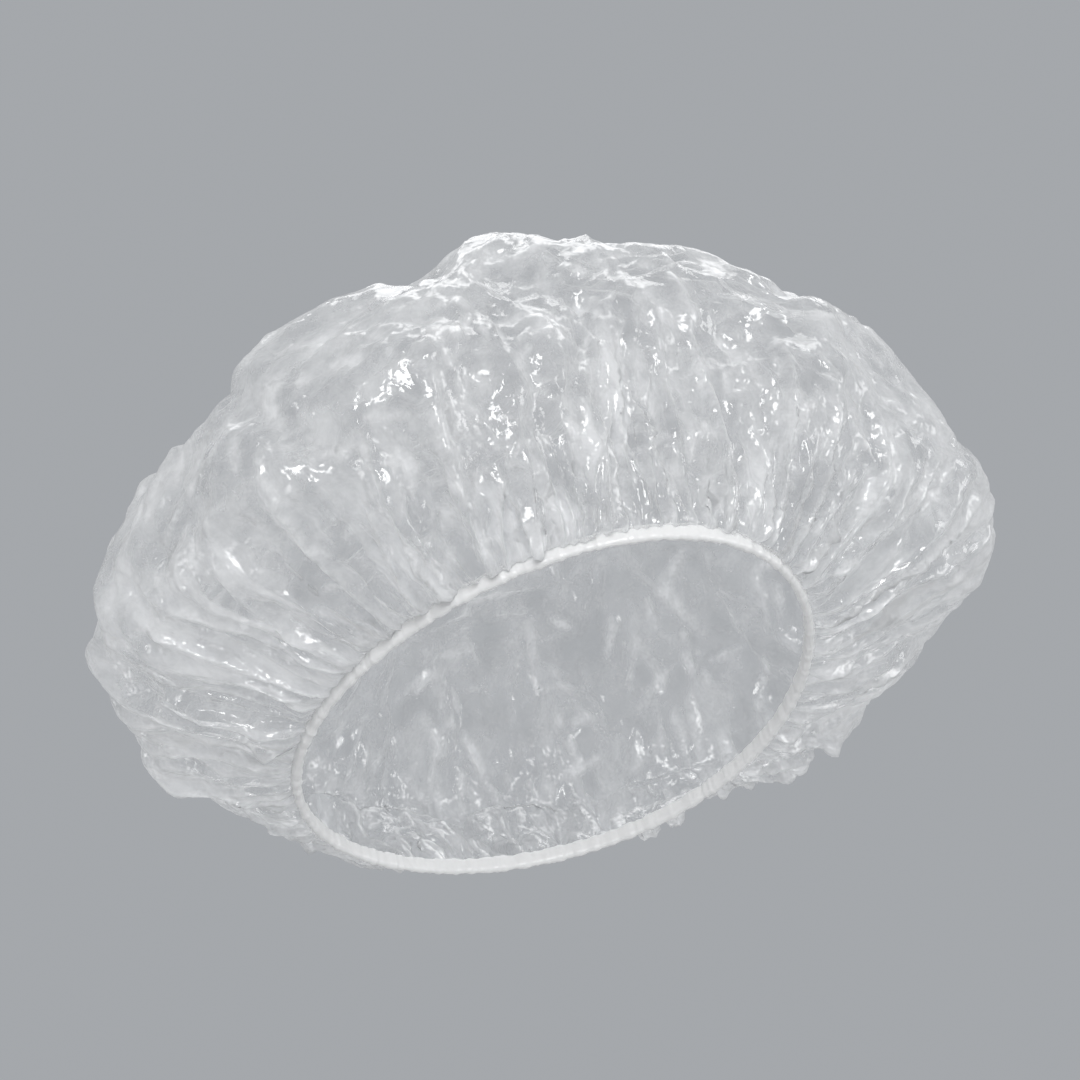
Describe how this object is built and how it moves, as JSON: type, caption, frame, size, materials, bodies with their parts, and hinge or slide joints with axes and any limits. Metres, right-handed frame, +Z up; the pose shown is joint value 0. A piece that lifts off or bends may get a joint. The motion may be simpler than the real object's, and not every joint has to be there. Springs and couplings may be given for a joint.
{
  "type": "shower cap",
  "caption": "Clear plastic film shower cap in its worn shape: a puffed, gathered crown with a narrow folded hem round an elastic band.",
  "frame": {"origin": "centre of the elastic loop, where a head fills the opening", "axes": "+Z up along the standing wearer's head, -Y out of the wearer's forehead, +X to the wearer's left; the plane of the elastic slopes down from the forehead to the nape"},
  "size_m": [0.2656, 0.1949, 0.2109],
  "materials": {
    "clear_film": "crinkled clear gloss",
    "hem_film": "milky folded film",
    "elastic": "matt off-white"
  },
  "bodies": {
    "root": {"film_crown": "clear_film", "hem_casing": "hem_film", "elastic_band": "elastic", "elastic_splice": "elastic"}
  },
  "joints": []
}
